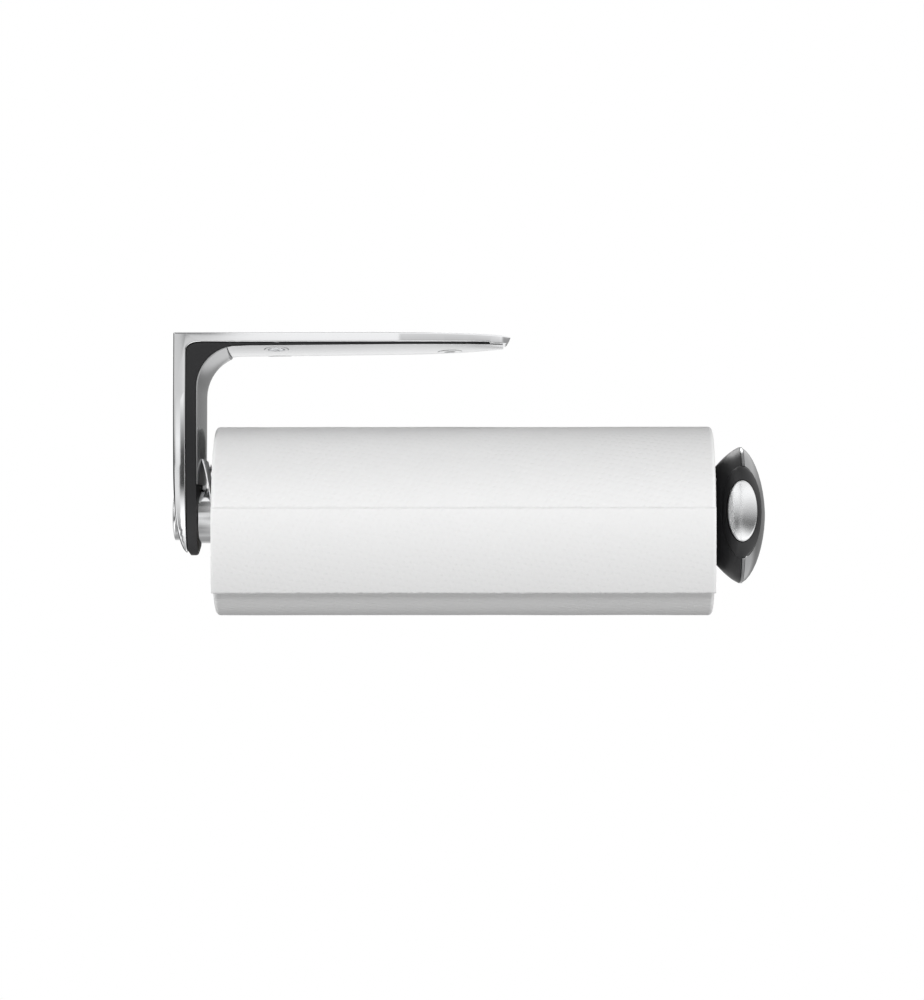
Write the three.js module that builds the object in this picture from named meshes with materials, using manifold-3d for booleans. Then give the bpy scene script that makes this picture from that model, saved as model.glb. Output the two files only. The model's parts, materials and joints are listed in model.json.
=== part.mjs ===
// Paper towel holder that screws under a cabinet: a bracket, a spindle and a quick-release knob.
// Millimetres. The origin is on the mounting face (z = 0), between the screws, at mid depth.
// +x runs along the spindle from the bracket to the knob, -y faces the user and +z is up.
import * as THREE from "three";
import { mergeVertices } from "three/addons/utils/BufferGeometryUtils.js";
import Module from "manifold-3d";

const wasm = await Module();
wasm.setup();

// ---------- Driving sizes ----------
const GAP = 0.3; // clearance between pieces that touch
const RUNNING_GAP = 0.4; // radial clearance of pieces that slide in each other

const bracket = {
  depth: 56, // front to back
  armX: -106, // outer face of the arm
  armDrop: 121.9, // mounting face to the lower end of the arm
  tipX: 82.7, // far end of the foot
  tipRoundLength: 66, // length over which the foot rounds off to its tip
  armTaperZ: -33, // where the arm starts to taper
  armThickness: 7,
  footThickness: 5.5,
  tipThickness: 3.9,
  tipFacet: 2.4, // length of the slanted end of the foot
  tipEdge: 1.2, // thickness left at the very tip
  cornerX: 8.5, // inner corner of the shell
  cornerZ: 5.5,
};
const liner = {
  armThickness: 5.4,
  footThickness: 1.3,
  tipThickness: 0.5, // of its foot, at the far end
  footEndX: 71, // the shell closes the last stretch of the foot itself
  filletRadius: 23.7,
  inset: 0.6, // from the shell's edge
  drop: 1.6, // how far it reaches below the shell
  lowerEdge: [1.4, 2.4], // how its lower end is cut back under the shell
  crown: 2, // bulge of its lower end
  crownEdge: 0.35, // share of the bulge that is left at its edges
};
const cover = {
  inset: 1, // from the shell's edge
  armCrown: 4.1,
  armEndZ: -85,
  armEdge: 0.15, // share of the arm's crown that is left at its edges
  footCrown: 2.5,
  tipCrown: 1.5,
  edge: 0.35, // thickness of the foot cover at its edges
  endGap: 4, // from the tip of the foot
};
const mounting = { x: [-48.6, 48.6], y: 18, shankHole: 2.6, opening: [4.75, 3.2], ferrule: 6.6 };
const linerScrew = { x: [-30, 30], radius: 1.5, headHeight: 0.9, depth: 3.4 };
const spindle = { z: -101, radius: 15.8, wall: 1.2, endX: 193, neck: 8, neckLength: 13.6 };
const groove = { radius: 7, start: 6.1, width: 5, slope: 0.6 }; // where the latch plates hold
const tubeStep = 0.3; // the tube is this much thinner than the collar
const collar = { length: 12.6, edge: 0.6 };
const hub = { neck: 10, plug: 35, seat: 0.7 };
const endPlug = { length: 28, lead: 2, edge: 0.6, flange: 3.2 };
const bolt = { radius: 4, headRadius: 7.5, headHeight: 1.9, socket: 3.2, washer: 0.8, length: 36 };
const cap = { radius: 14.1, sink: 1.4, rimSink: 3.4, rimWidth: 5, dome: 1.7 };
const leaf = { thickness: 0.7, topZ: -70.5, endZ: -103.5, halfWidth: 18.4, sag: 1.9, bend: 0.8 };
const rivet = { head: 2.6, shank: 1.2, below: 4 };
const knob = {
  radius: 38.4,
  faceRadius: 26.4,
  bodyLength: 14, // inner face to rim
  domeLength: 14.7, // rim to crown
  domePower: 1.8, // exponent of the dome's curve
  wall: 2.6,
  ring: 1.4, // thickness of the trim ring
  clearance: 0.9, // from the spindle's flange
};
const button = {
  halfX: 8.33,
  halfZ: 17.1,
  crownY: 40,
  backY: 31,
  dome: [16, 18, 28], // half sizes of the ellipsoid its face is cut from
  blockY: 27, // inner end of the block behind it
  blockHalfZ: 5,
  travel: 3,
};
const bezel = { size: [12.6, 15, 27], y: 24, fromY: 26, openFromY: 20 };
const scallop = { halfX: 11.3, halfZ: 26, fromY: 22 };
const latch = { thickness: 2, halfHeight: 13, bar: 4.6, windowHalfHeight: 9, tabHalfHeight: 4 };
const spring = { inner: 1.8, outer: 3.1, from: 14.9, to: 26.7 };
const springSeat = { from: 12.6, to: 14.6, length: 6.4, halfHeight: 4 };
const knobScrew = { offset: 17, radius: 1.5, headRadius: 2.9, headHeight: 1.2, post: 3.2 };
const roll = {
  width: 279,
  radius: 53.2,
  edge: 1.5, // rounding at its ends
  coreBore: 19.3,
  coreWall: 1.2,
  startX: -82.9,
  tailRise: 4, // from the roll's axis up to where the sheet leaves the roll
  tailDrop: 43.3,
  sheet: 0.5,
};

// ---------- Sizes that follow ----------
const half = bracket.depth / 2;
const shellInnerX = bracket.armX + bracket.armThickness;
const linerOuterX = shellInnerX + GAP;
const linerInnerX = linerOuterX + liner.armThickness;
const linerBottomZ = -(bracket.armDrop + liner.drop);
const footTopOfLiner = -bracket.footThickness - GAP;
const footLinerZ = footTopOfLiner - liner.footThickness;
const fillet = { x: linerInnerX + liner.filletRadius, z: footLinerZ - liner.filletRadius };
const seamX = fillet.x - 6.4; // where the arm cover meets the foot cover
const hubFaceX = linerInnerX + hub.seat;
const collarEndX = hubFaceX + collar.length;
const tubeRadius = spindle.radius - tubeStep;
const tubeBore = tubeRadius - spindle.wall;
const rollZ = spindle.z - (roll.coreBore - spindle.radius - GAP); // the roll hangs on the spindle
const flangeX = spindle.endX + GAP;
const neckX = flangeX + endPlug.flange;
const knobX = neckX + knob.clearance;
const rimX = knobX + knob.bodyLength;
const ringX = rimX + GAP;
const domeX = ringX + knob.ring + GAP;
const crownX = rimX + knob.domeLength;
const rivetPlace = { z: leaf.topZ - rivet.below, segments: 20 };
const carrier = { x: rimX - 2.8, thickness: 1.8, radius: knob.radius - 5.2 };

// ---------- Solids ----------
// A closed geometry as a solid that can be joined and cut.
function solid(geometry) {
  const bare = geometry.clone();
  bare.deleteAttribute("normal");
  bare.deleteAttribute("uv");
  const merged = mergeVertices(bare, 1e-4);
  return new wasm.Manifold(
    new wasm.Mesh({
      numProp: 3,
      vertProperties: new Float32Array(merged.attributes.position.array),
      triVerts: new Uint32Array(merged.index.array),
    }),
  );
}

function geometryOf(body) {
  const mesh = body.getMesh();
  const geometry = new THREE.BufferGeometry();
  geometry.setAttribute("position", new THREE.BufferAttribute(new Float32Array(mesh.vertProperties), 3));
  geometry.setIndex(new THREE.BufferAttribute(new Uint32Array(mesh.triVerts), 1));
  geometry.computeVertexNormals();
  return geometry;
}

const holder = new THREE.Group();

function addPiece(name, body, look) {
  const mesh = new THREE.Mesh(geometryOf(body), new THREE.MeshStandardMaterial(look));
  mesh.name = name;
  holder.add(mesh);
}

// Turns a closed profile of [x, radius] points about an axis along x.
function turned(profile, { y = 0, z = spindle.z, segments = 32 } = {}) {
  let area = 0;
  profile.forEach(([x, r], i) => {
    const [nextX, nextR] = profile[(i + 1) % profile.length];
    area += x * nextR - nextX * r;
  });
  const ordered = area > 0 ? [...profile].reverse() : [...profile];
  const points = ordered.map(([x, r]) => new THREE.Vector2(r, x));
  points.push(points[0].clone());
  const geometry = new THREE.LatheGeometry(points, segments);
  geometry.rotateZ(-Math.PI / 2);
  geometry.translate(0, y, z);
  return solid(geometry);
}

const rod = (x0, x1, r, place) => turned([[x0, 0], [x0, r], [x1, r], [x1, 0]], place);
const tube = (x0, x1, inner, outer, place) =>
  turned([[x0, inner], [x0, outer], [x1, outer], [x1, inner]], place);

// An upright rod or stepped piece: a profile of [height, radius] points turned about z.
function turnedUpright(profile, x, y, segments = 24) {
  const geometry = new THREE.LatheGeometry(
    profile.map(([z, r]) => new THREE.Vector2(r, z)),
    segments,
  );
  geometry.rotateX(Math.PI / 2);
  geometry.translate(x, y, 0);
  return solid(geometry);
}

function box([x0, x1], [y0, y1], [z0, z1]) {
  const geometry = new THREE.BoxGeometry(x1 - x0, y1 - y0, z1 - z0);
  geometry.translate((x0 + x1) / 2, (y0 + y1) / 2, (z0 + z1) / 2);
  return solid(geometry);
}

const sortedPair = (a, b) => (a < b ? [a, b] : [b, a]);
const around = (middle, reach) => [middle - reach, middle + reach];
const shapeOf = (points) => new THREE.Shape(points.map(([a, b]) => new THREE.Vector2(a, b)));

// A side outline of [x, z] points, made as deep as the width along y.
function fromSide(outline, width) {
  const geometry = new THREE.ExtrudeGeometry(shapeOf(outline), { depth: width, bevelEnabled: false });
  geometry.rotateX(Math.PI / 2);
  geometry.translate(0, width / 2, 0);
  return solid(geometry);
}

// A plan outline of [x, y] points between two heights.
function fromAbove(outline, z0, z1) {
  const geometry = new THREE.ExtrudeGeometry(shapeOf(outline), { depth: z1 - z0, bevelEnabled: false });
  geometry.translate(0, 0, z0);
  return solid(geometry);
}

// An end outline of [y, z] points between two places along x.
function fromEnd(outline, x0, x1) {
  const geometry = new THREE.ExtrudeGeometry(shapeOf(outline), { depth: x1 - x0, bevelEnabled: false });
  geometry.applyMatrix4(new THREE.Matrix4().set(0, 0, 1, 0, 1, 0, 0, 0, 0, 1, 0, 0, 0, 0, 0, 1));
  geometry.translate(x0, 0, 0);
  return solid(geometry);
}

// An elliptic rod along y, centred on the knob's rim.
function ellipticRod(halfX, halfZ, y0, y1) {
  const geometry = new THREE.CylinderGeometry(1, 1, y1 - y0, 32);
  geometry.scale(halfX, 1, halfZ);
  geometry.translate(rimX, (y0 + y1) / 2, spindle.z);
  return solid(geometry);
}

function ellipsoid([halfX, halfY, halfZ], centreY) {
  const geometry = new THREE.SphereGeometry(1, 24, 14);
  geometry.scale(halfX, halfY, halfZ);
  geometry.translate(rimX, centreY, spindle.z);
  return solid(geometry);
}

// Joins a row of loops, each a convex ring of [x, y, z] points, into one closed body.
function lofted(loops) {
  const count = loops[0].length;
  const last = (loops.length - 1) * count;
  const index = [];
  for (let s = 0; s + 1 < loops.length; s++) {
    for (let i = 0; i < count; i++) {
      const a = s * count + i;
      const b = s * count + ((i + 1) % count);
      index.push(a, b, a + count, b, b + count, a + count);
    }
  }
  for (let i = 1; i + 1 < count; i++) {
    index.push(0, i + 1, i, last, last + i, last + i + 1);
  }
  const geometry = new THREE.BufferGeometry();
  geometry.setAttribute("position", new THREE.Float32BufferAttribute(loops.flat(2), 3));
  geometry.setIndex(index);
  return solid(geometry);
}

const steps = (count) => Array.from({ length: count + 1 }, (_, i) => i / count);
const mix = (a, b, t) => a + (b - a) * t;

function curve(from, control, to, count = 10) {
  const path = new THREE.QuadraticBezierCurve(
    new THREE.Vector2(...from),
    new THREE.Vector2(...control),
    new THREE.Vector2(...to),
  );
  return path.getPoints(count).map((p) => [p.x, p.y]);
}

function arc(x, z, radius, fromDegrees, toDegrees, count = 16) {
  return steps(count).map((t) => {
    const angle = THREE.MathUtils.degToRad(mix(fromDegrees, toDegrees, t));
    return [x + radius * Math.cos(angle), z + radius * Math.sin(angle)];
  });
}

// ---------- Outlines of the bracket ----------
// Half the foot's depth at a place along x: straight, then a long elliptic tip.
function footHalfDepth(x, inset = 0) {
  const start = bracket.tipX - bracket.tipRoundLength;
  if (x <= start) return half - inset;
  const t = Math.min(1, (x - start) / (bracket.tipRoundLength - inset));
  return (half - inset) * Math.sqrt(Math.max(0, 1 - t * t));
}

function footPlan(inset) {
  const start = bracket.tipX - bracket.tipRoundLength;
  const front = steps(14).map((t) => {
    const x = start + (bracket.tipRoundLength - inset) * Math.sin((t * Math.PI) / 2);
    return [x, -(half - inset) * Math.cos((t * Math.PI) / 2)];
  });
  const back = front.slice(0, -1).reverse().map(([x, y]) => [x, -y]);
  return [[bracket.armX - 10, -(half - inset)], ...front, ...back, [bracket.armX - 10, half - inset]];
}

// The arm tapers from the full depth to a narrow round end below the spindle.
function armTaper(inset, bottomZ) {
  return new THREE.CubicBezierCurve(
    new THREE.Vector2(half - inset, bracket.armTaperZ),
    new THREE.Vector2(half - inset, -0.55 * bracket.armDrop),
    new THREE.Vector2(0.75 * half - inset, bottomZ),
    new THREE.Vector2(0, bottomZ),
  );
}

function armOutline(inset, bottomZ) {
  const right = armTaper(inset, bottomZ).getPoints(20).map((p) => [p.x, p.y]);
  const left = right.slice(0, -1).reverse().map(([y, z]) => [-y, z]);
  return [[half - inset, 10], [-(half - inset), 10], ...left.reverse(), ...right.reverse()];
}

function armHalfDepth(z, inset) {
  if (z >= bracket.armTaperZ) return half - inset;
  const points = armTaper(inset, linerBottomZ).getPoints(60);
  const below = points.findIndex((p) => p.y <= z);
  const [a, b] = [points[below - 1], points[below]];
  return mix(a.x, b.x, (a.y - z) / (a.y - b.y));
}

// The shell's and the liner's feet both thin towards the tip.
function shellUnderside(x) {
  const start = 20;
  const t = Math.max(0, (x - start) / (bracket.tipX - start));
  return -mix(bracket.footThickness, bracket.tipThickness, t * t);
}

function linerUnderside(x) {
  const t = Math.max(0, (x - fillet.x) / (bracket.tipX - fillet.x));
  return shellUnderside(x) - GAP - mix(liner.footThickness, liner.tipThickness, Math.min(1, 1.6 * t));
}

const footStations = steps(12).map((t) => mix(seamX, liner.footEndX, t));
const lipStations = [liner.footEndX + GAP, bracket.tipX - bracket.tipFacet];
const coverEndX = bracket.tipX - cover.endGap;
const footCoverStations = [seamX + GAP, seamX + 3, ...footStations.slice(1), coverEndX];

// ---------- Looks ----------
const chrome = { color: 0xd8dadc, metalness: 1, roughness: 0.08 };
const satin = { color: 0xc9cbcd, metalness: 1, roughness: 0.28 };
const steel = { color: 0x9a9c9e, metalness: 1, roughness: 0.4 };
const blackPlastic = { color: 0x1c1c1e, metalness: 0, roughness: 0.35 };
const zinc = { color: 0xa8aaac, metalness: 1, roughness: 0.5 };
const paper = { color: 0xf4f3f0, metalness: 0, roughness: 0.95 };
const cardboard = { color: 0xa98f6c, metalness: 0, roughness: 0.9 };

// ---------- Bracket ----------
const screwPlaces = [
  { name: "front", x: mounting.x[0], y: -mounting.y, opening: mounting.opening[0] },
  { name: "rear", x: mounting.x[0], y: mounting.y, opening: mounting.opening[0] },
  { name: "tip", x: mounting.x[1], y: 0, opening: mounting.opening[1] },
];

// Cuts the three mounting holes.
function withScrewHoles(body, radius) {
  return screwPlaces.reduce(
    (left, { x, y }) => left.subtract(turnedUpright([[-30, 0], [-30, radius], [10, radius], [10, 0]], x, y)),
    body,
  );
}

const alongFoot = (underside) => footStations.map((x) => [x, underside(x)]);

function makeShell() {
  const corner = curve(
    [shellInnerX, -bracket.footThickness - bracket.cornerZ],
    [shellInnerX, -bracket.footThickness],
    [shellInnerX + bracket.cornerX, -bracket.footThickness],
    6,
  );
  const lowerEnd = curve(
    [bracket.armX, -bracket.armDrop + 42],
    [bracket.armX + 0.1, -bracket.armDrop + 8],
    [bracket.armX + 5.6, -bracket.armDrop],
    10,
  );
  const outline = [
    [bracket.armX, 0],
    ...lowerEnd,
    [shellInnerX, -bracket.armDrop],
    ...corner,
    ...alongFoot(shellUnderside),
    [lipStations[0], shellUnderside(lipStations[0])],
    ...lipStations.map((x) => [x, linerUnderside(x)]),
    [bracket.tipX, -bracket.tipEdge],
    [bracket.tipX, 0],
  ];
  let body = fromSide(outline, bracket.depth)
    .intersect(fromAbove(footPlan(0), -200, 10))
    .intersect(fromEnd(armOutline(0, -bracket.armDrop), bracket.armX - 5, shellInnerX + 1).add(
      box([shellInnerX, bracket.tipX + 5], [-half, half], [bracket.armTaperZ, 10])));
  body = withScrewHoles(body, mounting.shankHole + 0.4);
  for (const x of linerScrew.x) {
    body = body.subtract(upright(x, 0, linerScrew.radius + GAP, -20, -1.6));
  }
  return body
    .subtract(rod(bracket.armX - 5, bracket.armX + cap.rimSink, cap.radius + GAP))
    .subtract(rod(bracket.armX - 5, bracket.armX + 5, bolt.headRadius + GAP))
    .subtract(rod(bracket.armX - 5, shellInnerX + 5, bolt.radius + GAP));
}

function upright(x, y, radius, z0, z1) {
  return turnedUpright([[z0, 0], [z0, radius], [z1, radius], [z1, 0]], x, y);
}

// The lower end of the liner, which bulges towards the roll.
function linerBoss() {
  const topZ = cover.armEndZ - GAP;
  const bottomZ = linerBottomZ + 1;
  return steps(9).map((t) => {
    const z = mix(bottomZ, topZ, t);
    const rounding = Math.sqrt(Math.max(0.02, 1 - Math.pow(Math.max(0, 1 - t / 0.3), 2)));
    const depth = armHalfDepth(z, liner.inset) + 0.2;
    const crown = [linerInnerX + liner.crown * rounding, z];
    return crownedLoop([linerInnerX - 1, z], crown, depth, liner.crownEdge);
  });
}

function makeLiner() {
  const corner = curve(
    [linerOuterX, footTopOfLiner - bracket.cornerZ],
    [linerOuterX, footTopOfLiner],
    [linerOuterX + bracket.cornerX, footTopOfLiner],
    6,
  );
  const footEnd = liner.footEndX;
  const [edgeX, edgeZ] = liner.lowerEdge;
  const outline = [
    [linerOuterX, linerBottomZ + edgeZ],
    [linerOuterX + edgeX, linerBottomZ],
    [linerInnerX - 1, linerBottomZ],
    [linerInnerX, linerBottomZ + 1],
    ...arc(fillet.x, fillet.z, liner.filletRadius, 180, 90),
    ...alongFoot(linerUnderside).slice(1),
    [footEnd, shellUnderside(footEnd) - GAP],
    ...alongFoot((x) => shellUnderside(x) - GAP).slice(1).reverse(),
    ...corner.reverse(),
  ];
  const bossX = linerInnerX + liner.crown + 1;
  let body = fromSide(outline, bracket.depth)
    .add(lofted(linerBoss()))
    .intersect(fromAbove(footPlan(liner.inset), -200, 10))
    .intersect(fromEnd(armOutline(liner.inset, linerBottomZ), bracket.armX, bossX).add(
      box([bossX - 1, bracket.tipX + 5], [-half, half], [bracket.armTaperZ, 10])));
  body = withScrewHoles(body, mounting.ferrule + GAP);
  for (const x of linerScrew.x) {
    body = body.subtract(upright(x, 0, linerScrew.radius + GAP, -20, 0));
  }
  return body
    .subtract(rod(hubFaceX - GAP, linerInnerX + 10, spindle.radius + GAP))
    .subtract(rod(bracket.armX, linerInnerX + 10, bolt.radius + GAP));
}

// One cross-section of a crowned strip: flat at its base and bulging to its crown at mid depth.
function crownedLoop(base, crown, halfDepth, edge) {
  const count = 12;
  const front = steps(count).map((t) => {
    const across = mix(-1, 1, t);
    const rise = mix(edge, 1, 1 - across * across);
    return [mix(base[0], crown[0], rise), across * halfDepth, mix(base[1], crown[1], rise)];
  });
  return [[base[0], -halfDepth, base[1]], ...front, [base[0], halfDepth, base[1]]];
}

// Stations of the arm cover, from its lower end round the fillet to the seam.
function armCoverStations() {
  const baseX = linerInnerX + GAP;
  const crownedX = baseX + cover.armCrown;
  const crownRadius = liner.filletRadius + 0.8;
  const crownCentre = { x: crownedX + crownRadius, z: fillet.z - 3 };
  const straight = steps(6).map((t) => {
    const z = mix(cover.armEndZ, fillet.z - 3.5, t);
    return { base: [baseX, z], crown: [crownedX, z], depth: armHalfDepth(z, cover.inset) };
  });
  const baseArc = arc(fillet.x, fillet.z, liner.filletRadius - GAP, 180, 107, 10);
  const crownArc = arc(crownCentre.x, crownCentre.z, crownRadius, 180, 107, 10);
  const bend = baseArc.map((base, i) => ({ base, crown: crownArc[i], depth: half - cover.inset }));
  return [...straight, ...bend];
}

function makeArmCover() {
  const loops = armCoverStations().map(({ base, crown, depth }) =>
    crownedLoop(base, crown, depth, cover.armEdge));
  return lofted(loops)
    .subtract(rod(linerInnerX - 5, linerInnerX + 20, spindle.radius + 2))
    .subtract(rod(linerInnerX - 5, linerInnerX + 20, rivet.shank + GAP, rivetPlace))
    .subtract(box([seamX, seamX + 40], [-half, half], [-40, 0]));
}

// Upper face of the foot cover: under the liner's foot, and below its fillet near the arm.
function footCoverTop(x) {
  const underLiner = linerUnderside(x) - GAP;
  if (x >= fillet.x) return underLiner;
  const reach = liner.filletRadius - GAP;
  return Math.min(underLiner, fillet.z + Math.sqrt(reach * reach - Math.pow(fillet.x - x, 2)) - 0.1);
}

function footCoverBody(extra) {
  const loops = footCoverStations.map((x) => {
    const top = footCoverTop(x);
    const t = (x - seamX) / (bracket.tipX - seamX);
    const crown = linerUnderside(x) - GAP - mix(cover.footCrown, cover.tipCrown, t * t) - extra;
    return crownedLoop([x, top], [x, crown], footHalfDepth(x, cover.inset), cover.edge / cover.footCrown);
  });
  return lofted(loops);
}

function makeFootCover() {
  return withScrewHoles(footCoverBody(0), mounting.ferrule + GAP);
}

// A ferrule lines a mounting hole; its lower face follows the crown of the cover.
function makeFerrule({ x, y, opening }) {
  const seat = shellUnderside(x) - GAP;
  const profile = [
    [seat, mounting.shankHole],
    [seat, mounting.ferrule],
    [-20, mounting.ferrule],
    [-20, opening],
    [seat - 2.2, opening],
    [seat - 1, mounting.shankHole],
    [seat, mounting.shankHole],
  ];
  const below = footCoverBody(0.25).add(fromAbove(footPlan(cover.inset), linerUnderside(x) - 1, 0));
  return turnedUpright(profile.reverse(), x, y).intersect(below);
}

function makeLinerScrew(x) {
  const topZ = -bracket.footThickness + linerScrew.depth;
  const headZ = linerUnderside(x) + 0.1;
  const neckZ = headZ + linerScrew.headHeight;
  return turnedUpright([
    [headZ, 0], [headZ, linerScrew.radius * 0.9], [neckZ, linerScrew.radius], [topZ, linerScrew.radius],
    [topZ, 0],
  ], x, 0);
}

// ---------- Spindle ----------
function makeAxleCap() {
  const backX = bracket.armX + cap.sink - GAP;
  const rimBackX = bracket.armX + cap.rimSink - GAP;
  const dome = steps(8).map((t) => [
    bracket.armX - cap.dome * Math.cos((t * Math.PI) / 2),
    cap.radius * Math.sin((t * Math.PI) / 2),
  ]);
  return turned([
    [backX, 0], ...dome, [rimBackX, cap.radius], [rimBackX, cap.radius - cap.rimWidth],
    [backX, cap.radius - cap.rimWidth],
  ]);
}

function makeBolt() {
  const headX = bracket.armX + cap.sink + GAP;
  const neckStart = headX + bolt.headHeight;
  return turned([
    [headX + 1.2, 0], [headX + 1.2, bolt.socket], [headX, bolt.socket], [headX, bolt.headRadius],
    [neckStart, bolt.headRadius], [neckStart, bolt.radius],
    [headX + bolt.length, bolt.radius], [headX + bolt.length, 0],
  ]);
}

function makeWasher() {
  const startX = bracket.armX + cap.sink + bolt.headHeight + 2 * GAP;
  return tube(startX, startX + bolt.washer, bolt.radius + GAP, bolt.headRadius);
}

function makeHub() {
  const tubeX = collarEndX + GAP;
  const inside = tubeBore - GAP;
  return turned([
    [hubFaceX, bolt.radius + GAP], [hubFaceX, hub.neck], [tubeX, hub.neck], [tubeX, inside],
    [tubeX + hub.plug, inside], [tubeX + hub.plug, bolt.radius + GAP],
  ]);
}

const makeCollar = () =>
  turned([
    [hubFaceX, hub.neck + GAP], [hubFaceX, spindle.radius], [collarEndX - collar.edge, spindle.radius],
    [collarEndX, spindle.radius - collar.edge], [collarEndX, hub.neck + GAP],
  ]);

const makeTube = () => tube(collarEndX + GAP, spindle.endX, tubeBore, tubeRadius);

function makeEndPlug() {
  const inside = tubeBore - GAP;
  const startX = spindle.endX - endPlug.length;
  const flange = spindle.radius - 0.5;
  const grooveX = knobX + groove.start;
  const grooveEndX = grooveX + groove.width;
  const endX = neckX + spindle.neckLength;
  return turned([
    [startX, 0], [startX, inside - 1], [startX + endPlug.lead, inside],
    [flangeX - GAP / 2, inside], [flangeX, flange], [neckX - endPlug.edge, flange],
    [neckX, flange - endPlug.edge], [neckX, spindle.neck], [grooveX, spindle.neck],
    [grooveX + groove.slope, groove.radius], [grooveEndX, groove.radius],
    [grooveEndX + groove.slope, spindle.neck],
    [endX, spindle.neck], [endX + 3.4, spindle.neck * 0.6], [endX + 3.4, 0],
  ]);
}

// ---------- Brake leaf ----------
// Place of the leaf's inner face, which leaves the arm cover towards the roll.
function leafX(z) {
  const rootX = linerInnerX + 2 * GAP + cover.armCrown;
  const t = Math.max(0, (leaf.topZ - z) / (leaf.topZ - leaf.endZ));
  return mix(rootX, roll.startX - leaf.thickness - 2 * GAP, Math.pow(t, leaf.bend));
}

// A forked spring leaf that presses lightly on the end of the roll, one prong on each side of the collar.
function makeLeaf() {
  const loops = steps(10).map((t) => {
    const z = mix(leaf.topZ, leaf.endZ, t);
    const x = leafX(z);
    const sag = leaf.sag * (1 - t) * (1 - t);
    const depth = leaf.halfWidth * mix(0.92, 1, Math.min(1, 3 * t));
    const side = (offset, direction) =>
      steps(10).map((s) => {
        const across = direction * mix(-1, 1, s);
        return [x + offset - sag * across * across, across * depth, z];
      });
    return [...side(leaf.thickness, 1), ...side(0, -1)];
  });
  const forkRadius = spindle.radius + 1;
  return loftedSheet(loops)
    .subtract(rod(linerInnerX - 10, roll.startX + 10, forkRadius))
    .subtract(rod(linerInnerX - 10, roll.startX, rivet.shank + GAP, rivetPlace))
    .subtract(box([linerInnerX - 10, roll.startX], [-forkRadius, forkRadius], [leaf.endZ - 5, spindle.z]));
}

// Joins loops that run out along one face of a sheet and back along the other.
function loftedSheet(loops) {
  const count = loops[0].length;
  const rows = loops.length;
  const index = [];
  for (let s = 0; s + 1 < rows; s++) {
    for (let i = 0; i < count; i++) {
      const a = s * count + i;
      const b = s * count + ((i + 1) % count);
      index.push(a, a + count, b, b, a + count, b + count);
    }
  }
  const last = (rows - 1) * count;
  for (let i = 0; i + 1 < count / 2; i++) {
    const [a, b, c, d] = [i, i + 1, count - 2 - i, count - 1 - i];
    index.push(a, b, c, a, c, d);
    index.push(last + a, last + c, last + b, last + a, last + d, last + c);
  }
  const geometry = new THREE.BufferGeometry();
  geometry.setAttribute("position", new THREE.Float32BufferAttribute(loops.flat(2), 3));
  geometry.setIndex(index);
  return solid(geometry);
}

function makeLeafRivet() {
  const headX = leafX(rivetPlace.z - rivet.head) + leaf.thickness + 0.15;
  return turned([
    [linerInnerX + GAP, 0], [linerInnerX + GAP, rivet.shank], [headX, rivet.shank], [headX, rivet.head],
    [headX + 0.3, rivet.head - 0.4], [headX + 0.5, rivet.head * 0.5], [headX + 0.6, 0],
  ], rivetPlace);
}

// ---------- Knob ----------
// Radius of the dome at a place along x.
function domeRadius(x, radius = knob.radius, length = knob.domeLength) {
  const t = Math.min(1, Math.max(0, (x - rimX) / length));
  return radius * Math.pow(1 - Math.pow(t, knob.domePower), 1 / knob.domePower);
}

function domeProfile(fromX, toX, radius, length) {
  return steps(10).map((t) => {
    const x = mix(fromX, toX, Math.sin((t * Math.PI) / 2));
    return [x, t === 1 ? 0 : domeRadius(x, radius, length)];
  });
}

const knobScrewPlaces = [[-1, -1], [1, -1], [-1, 1], [1, 1]].map(([y, z]) => ({
  y: y * knobScrew.offset,
  z: spindle.z + z * knobScrew.offset,
  segments: 16,
}));
const sides = [
  { name: "front", sign: -1, plateX: knobX + 6.6 },
  { name: "rear", sign: 1, plateX: knobX + 8.9 },
];

// Everything on one side of the knob's middle, as a cut for the button's bezel.
function scallopCut(grow) {
  const reach = 60;
  const cut = (y0, y1) => ellipticRod(scallop.halfX + grow, scallop.halfZ + grow, y0, y1);
  return cut(-reach, -scallop.fromY).add(cut(scallop.fromY, reach));
}

function knobBodyProfile() {
  const outside = curve([knobX, knob.faceRadius], [knobX + 7.5, knob.radius - 2.9], [rimX, knob.radius], 10);
  const inside = curve(
    [knobX + knob.wall, knob.faceRadius - 1.6],
    [knobX + 8.9, knob.radius - 5.7],
    [rimX, knob.radius - knob.wall],
    8,
  );
  const bore = spindle.neck + RUNNING_GAP;
  return [
    [knobX, bore], ...outside, ...inside.reverse(),
    [knobX + knob.wall, bore + 3.2], [knobX + knob.wall + 2, bore + 3.2], [knobX + knob.wall + 2, bore],
  ];
}

function makeKnobBody() {
  let body = turned(knobBodyProfile(), { segments: 48 });
  for (const { sign } of sides) {
    const opening = ellipticRod(
      scallop.halfX - GAP, scallop.halfZ - GAP, ...sortedPair(sign * bezel.fromY, sign * 60));
    body = body.add(ellipsoid(bezel.size, sign * bezel.y).intersect(opening));
  }
  for (const { sign } of sides) {
    const throughY = sortedPair(sign * bezel.openFromY, sign * 60);
    body = body.subtract(ellipticRod(button.halfX + RUNNING_GAP, button.halfZ + RUNNING_GAP, ...throughY));
  }
  for (const place of knobScrewPlaces) {
    body = body
      .subtract(rod(knobX - 5, knobX + knob.wall + 5, knobScrew.radius + GAP, place))
      .subtract(rod(knobX - 5, knobX + knobScrew.headHeight + GAP, knobScrew.headRadius + GAP, place));
  }
  return body;
}

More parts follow.
